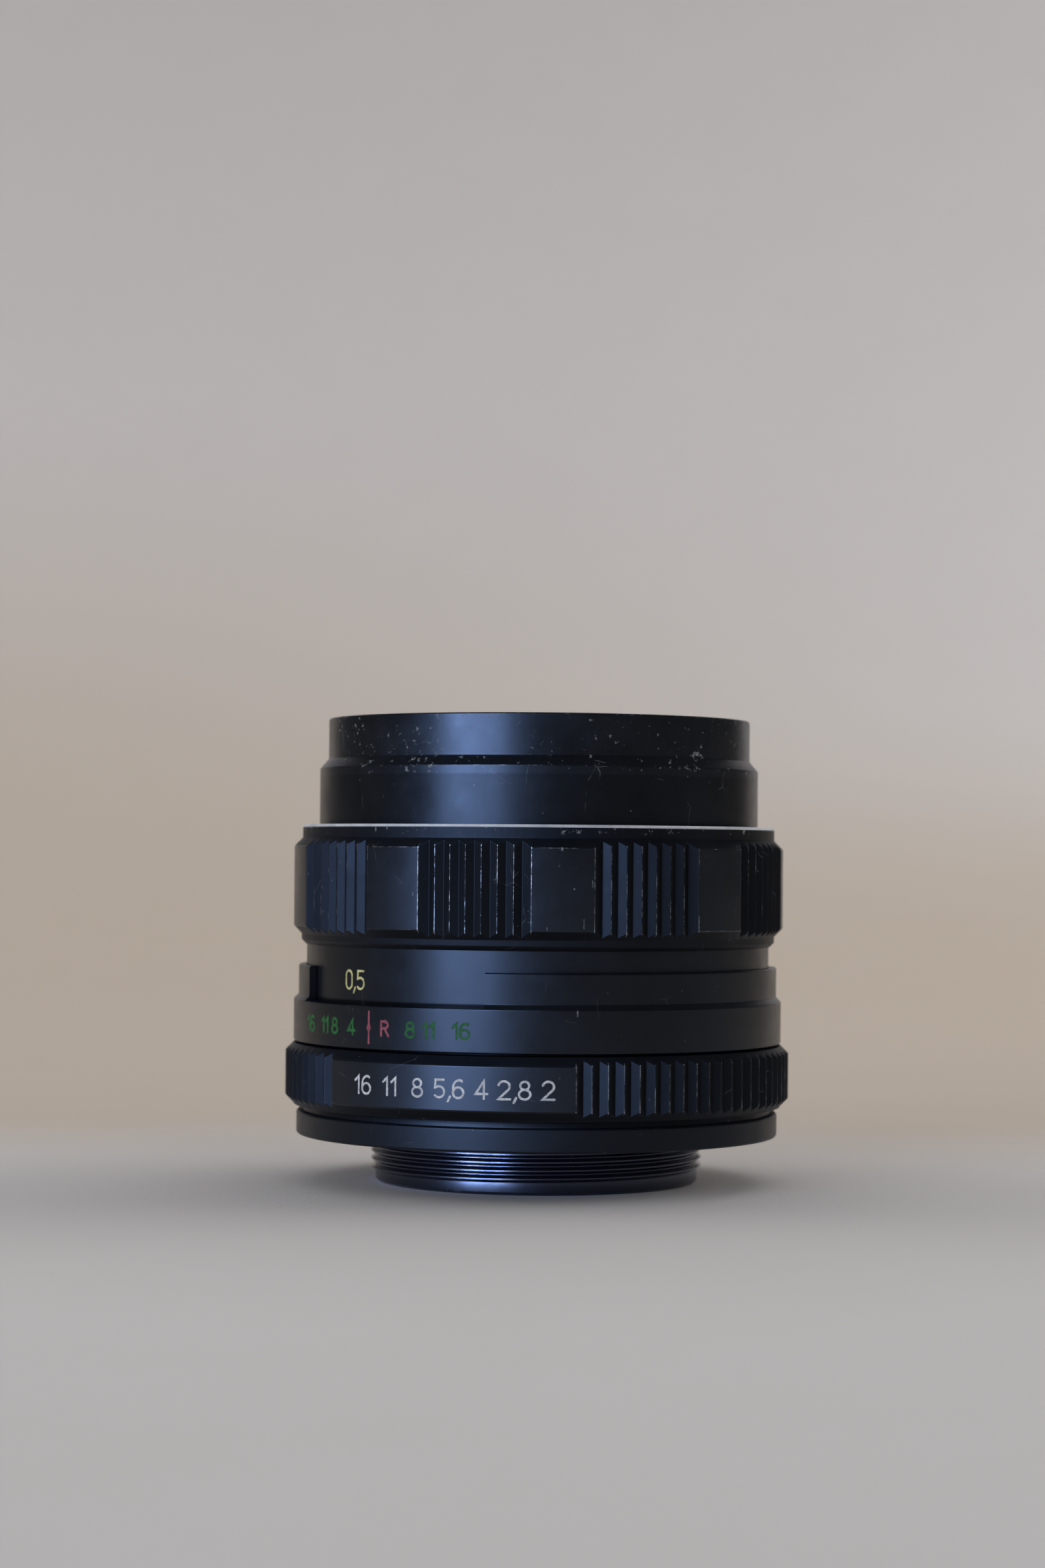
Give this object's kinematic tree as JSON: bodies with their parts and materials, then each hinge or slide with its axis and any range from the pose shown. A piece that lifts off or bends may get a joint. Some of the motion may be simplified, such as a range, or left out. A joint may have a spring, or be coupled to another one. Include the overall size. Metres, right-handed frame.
{
  "type": "prime camera lens",
  "caption": "Manual-focus prime lens for a screw-mount camera: knurled focusing grip, grooved aperture ring with stop scale, bladed iris, optical cells and threaded mount.",
  "frame": {"origin": "centre of the mount's flange plane, on the optical axis", "axes": "+Z along the optical axis towards the front glass; -Y is the side that faces the viewer when the index line is 41 degrees to the left"},
  "size_m": [0.064, 0.0641, 0.0584],
  "materials": {
    "black_anodised": "satin black anodised with fine turning lines, worn to bare metal on sharp edges",
    "black_painted": "matte black lacquer inside the barrel",
    "steel": "machined, lightly oiled",
    "brass": "machined, greased",
    "bare_aluminium": "bare machined",
    "glass": "polished, coated",
    "blade_steel": "thin spring steel, chemically blackened"
  },
  "bodies": {
    "fixed_barrel": {"mount_ring": "black_anodised", "mount_screws": "steel", "rear_ring": "black_anodised", "base_body": "black_anodised", "scale_ring": "black_anodised", "scale_ring_screws": "steel", "guide_tube": "bare_aluminium", "guide_tube_screws": "steel", "guide_keys": "brass", "guide_key_screws": "steel", "focus_retaining_ring": "brass", "focus_stop_pin": "steel", "click_ball": "steel", "click_spring": "steel", "rear_baffle": "black_painted", "baffle_screws": "steel", "pin_bracket": "brass", "pin_bracket_screw": "steel", "pin_spring": "steel"},
    "focus_ring": {"focus_grip": "black_anodised", "distance_scale": "black_anodised", "focus_helicoid": "brass", "front_lock_ring": "black_painted"},
    "lens_block": {"front_barrel": "black_anodised", "name_ring": "black_painted", "lens_helicoid": "brass", "diaphragm_housing": "black_painted", "cell_lock_ring": "brass", "front_cell": "black_painted", "front_element": "glass", "second_element": "glass", "third_element": "glass", "doublet_lock_ring": "black_painted", "front_retaining_ring": "black_painted", "rear_cell": "black_painted", "fourth_element": "glass", "fifth_element": "glass", "rear_element": "glass", "rear_doublet_ring": "black_painted", "rear_retaining_ring": "black_painted", "pivot_plate": "black_painted", "pivot_pins": "steel"},
    "aperture_ring": {"aperture_ring": "black_anodised", "aperture_drive_screws": "steel", "transfer_ring": "brass", "drive_fork": "steel"},
    "iris_cam": {"cam_ring": "brass", "cam_ring_pin": "steel"},
    "stop_down_pin": {"stop_down_pin": "steel"},
    "mode_switch": {"mode_switch": "black_anodised"},
    "blade_1": {"blade_1": "blade_steel"},
    "blade_2": {"blade_2": "blade_steel"},
    "blade_3": {"blade_3": "blade_steel"},
    "blade_4": {"blade_4": "blade_steel"},
    "blade_5": {"blade_5": "blade_steel"},
    "blade_6": {"blade_6": "blade_steel"},
    "blade_7": {"blade_7": "blade_steel"},
    "blade_8": {"blade_8": "blade_steel"}
  },
  "joints": [
    {"name": "focus_turn", "type": "hinge", "parent": "fixed_barrel", "child": "focus_ring", "pos_m": [0, 0, 0.018], "axis": [0, 0, 1], "range_deg": [0, 270]},
    {"name": "lens_block_slide", "type": "slide", "parent": "fixed_barrel", "child": "lens_block", "axis": [0, 0, 1], "range_m": [-0.009, 0]},
    {"name": "aperture_turn", "type": "hinge", "parent": "fixed_barrel", "child": "aperture_ring", "pos_m": [0, 0, 0.0075], "axis": [0, 0, 1], "range_deg": [-43.2, 0]},
    {"name": "cam_turn", "type": "hinge", "parent": "lens_block", "child": "iris_cam", "pos_m": [0, 0, 0.02175], "axis": [0, 0, 1], "range_deg": [-43.2, 0]},
    {"name": "blade_1_pivot", "type": "hinge", "parent": "lens_block", "child": "blade_1", "pos_m": [0.019, 0, 0.0235], "axis": [0, 0, 1], "range_deg": [-31.45, 0]},
    {"name": "blade_2_pivot", "type": "hinge", "parent": "lens_block", "child": "blade_2", "pos_m": [0.01344, 0.01344, 0.02335], "axis": [0, 0, 1], "range_deg": [-31.45, 0]},
    {"name": "blade_3_pivot", "type": "hinge", "parent": "lens_block", "child": "blade_3", "pos_m": [0, 0.019, 0.0232], "axis": [0, 0, 1], "range_deg": [-31.45, 0]},
    {"name": "blade_4_pivot", "type": "hinge", "parent": "lens_block", "child": "blade_4", "pos_m": [-0.01344, 0.01344, 0.02305], "axis": [0, 0, 1], "range_deg": [-31.45, 0]},
    {"name": "blade_5_pivot", "type": "hinge", "parent": "lens_block", "child": "blade_5", "pos_m": [-0.019, 0, 0.0229], "axis": [0, 0, 1], "range_deg": [-31.45, 0]},
    {"name": "blade_6_pivot", "type": "hinge", "parent": "lens_block", "child": "blade_6", "pos_m": [-0.01344, -0.01344, 0.02275], "axis": [0, 0, 1], "range_deg": [-31.45, 0]},
    {"name": "blade_7_pivot", "type": "hinge", "parent": "lens_block", "child": "blade_7", "pos_m": [0, -0.019, 0.0226], "axis": [0, 0, 1], "range_deg": [-31.45, 0]},
    {"name": "blade_8_pivot", "type": "hinge", "parent": "lens_block", "child": "blade_8", "pos_m": [0.01344, -0.01344, 0.02245], "axis": [0, 0, 1], "range_deg": [-31.45, 0]},
    {"name": "pin_push", "type": "slide", "parent": "fixed_barrel", "child": "stop_down_pin", "axis": [0, 0, 1], "range_m": [0, 0.002], "stiffness_N_per_m": 300, "springref_m": -0.001, "deforming": ["pin_spring"]},
    {"name": "mode_switch_turn", "type": "hinge", "parent": "fixed_barrel", "child": "mode_switch", "pos_m": [0, 0, 0.0017], "axis": [0, 0, 1], "range_deg": [0, 12]}
  ],
  "couplings": [
    {"joint": "lens_block_slide", "follows": "focus_turn", "m_per_rad": -0.0019099},
    {"joint": "cam_turn", "follows": "aperture_turn", "ratio": 1},
    {"joint": "blade_1_pivot", "follows": "aperture_turn", "ratio": 0.7281},
    {"joint": "blade_2_pivot", "follows": "aperture_turn", "ratio": 0.7281},
    {"joint": "blade_3_pivot", "follows": "aperture_turn", "ratio": 0.7281},
    {"joint": "blade_4_pivot", "follows": "aperture_turn", "ratio": 0.7281},
    {"joint": "blade_5_pivot", "follows": "aperture_turn", "ratio": 0.7281},
    {"joint": "blade_6_pivot", "follows": "aperture_turn", "ratio": 0.7281},
    {"joint": "blade_7_pivot", "follows": "aperture_turn", "ratio": 0.7281},
    {"joint": "blade_8_pivot", "follows": "aperture_turn", "ratio": 0.7281}
  ]
}
